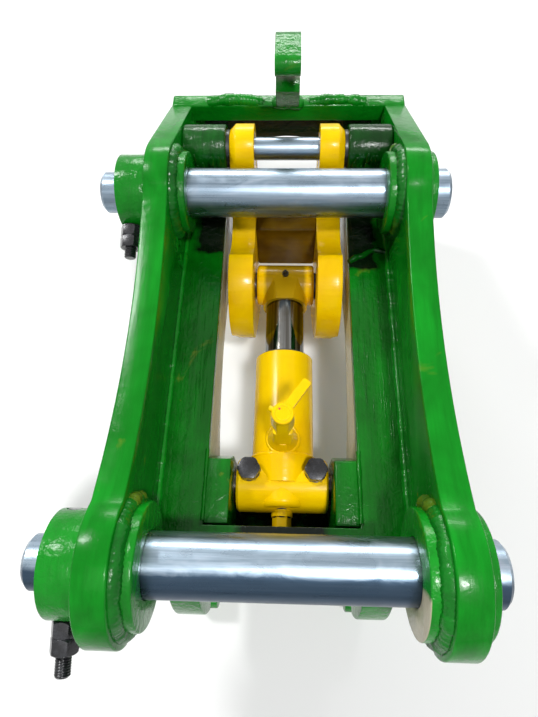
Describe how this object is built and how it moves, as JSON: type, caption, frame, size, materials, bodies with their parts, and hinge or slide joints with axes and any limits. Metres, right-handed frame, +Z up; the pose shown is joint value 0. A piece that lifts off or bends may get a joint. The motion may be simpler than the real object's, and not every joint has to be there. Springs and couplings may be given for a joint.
{
  "type": "excavator quick coupler",
  "caption": "Hydraulic excavator quick coupler: two pins between side plates, fixed front hooks, a cylinder-driven rear jaw and a lifting hook.",
  "frame": {"origin": "middle of the arm pin, between the side plates", "axes": "+X along the pins, +Y from the arm pin to the link pin, +Z up with the jaws down"},
  "size_m": [0.47, 0.7981, 0.424],
  "materials": {
    "green_paint": "gloss brushed paint",
    "yellow_paint": "gloss paint",
    "ground_steel": "ground",
    "black_oxide": "black oxide",
    "bronze": "machined",
    "rubber": "matte",
    "chrome": "polished"
  },
  "bodies": {
    "hitch_frame": {"arm_lock_bolt": "black_oxide", "arm_lock_nuts": "black_oxide", "arm_pin": "ground_steel", "floor_plate": "green_paint", "front_cross_plate": "green_paint", "jaw_pivot_pin": "ground_steel", "left_arm_inner_boss": "green_paint", "left_arm_lock_collar": "green_paint", "left_hook_plate": "green_paint", "left_link_inner_boss": "green_paint", "left_link_lock_collar": "green_paint", "left_pivot_lug": "green_paint", "left_side_plate": "green_paint", "left_trunnion_block": "green_paint", "lifting_hook": "green_paint", "link_lock_bolt": "black_oxide", "link_lock_nuts": "black_oxide", "link_pin": "ground_steel", "pivot_spacer_washers": "ground_steel", "rear_end_plate": "green_paint", "right_arm_inner_boss": "green_paint", "right_arm_outer_ring": "green_paint", "right_hook_plate": "green_paint", "right_link_inner_boss": "green_paint", "right_link_outer_ring": "green_paint", "right_pivot_lug": "green_paint", "right_side_plate": "green_paint", "right_trunnion_block": "green_paint", "trunnion_bushes": "bronze"},
    "moving_jaw": {"left_jaw_plate": "yellow_paint", "right_jaw_plate": "yellow_paint", "jaw_web": "yellow_paint", "jaw_lip_bar": "yellow_paint", "pivot_bushes": "bronze", "rod_eye_pin": "ground_steel", "rod_eye_pin_caps": "yellow_paint"},
    "cylinder_barrel": {"barrel_tube": "yellow_paint", "cylinder_gland": "yellow_paint", "rod_wiper_seal": "rubber", "cylinder_base_head": "yellow_paint", "trunnion_pins": "ground_steel", "trunnion_keeper_bolts": "black_oxide", "port_plug": "yellow_paint", "valve_body": "yellow_paint"},
    "piston_rod": {"piston_rod": "chrome", "piston": "ground_steel", "piston_seal": "rubber", "rod_eye": "yellow_paint", "rod_eye_bush": "bronze", "rod_eye_grease_nipple": "ground_steel"},
    "valve_handle": {"valve_lever": "yellow_paint"}
  },
  "joints": [
    {"name": "jaw_swing", "type": "hinge", "parent": "hitch_frame", "child": "moving_jaw", "pos_m": [0, 0.572, -0.009], "axis": [1, 0, 0], "range_deg": [-12, 0]},
    {"name": "barrel_swing", "type": "hinge", "parent": "hitch_frame", "child": "cylinder_barrel", "pos_m": [0, 0.108, -0.15], "axis": [1, 0, 0], "range_deg": [-0.5, 7]},
    {"name": "rod_slide", "type": "slide", "parent": "cylinder_barrel", "child": "piston_rod", "axis": [0, 1, 0], "range_m": [-0.026, 0.001]},
    {"name": "valve_lever_turn", "type": "hinge", "parent": "cylinder_barrel", "child": "valve_handle", "pos_m": [0, 0.162, -0.004], "axis": [0, 0, 1], "range_deg": [-55, 35]}
  ],
  "couplings": [
    {"joint": "barrel_swing", "follows": "jaw_swing", "ratio": -0.5347},
    {"joint": "rod_slide", "follows": "jaw_swing", "m_per_rad": 0.1199}
  ]
}
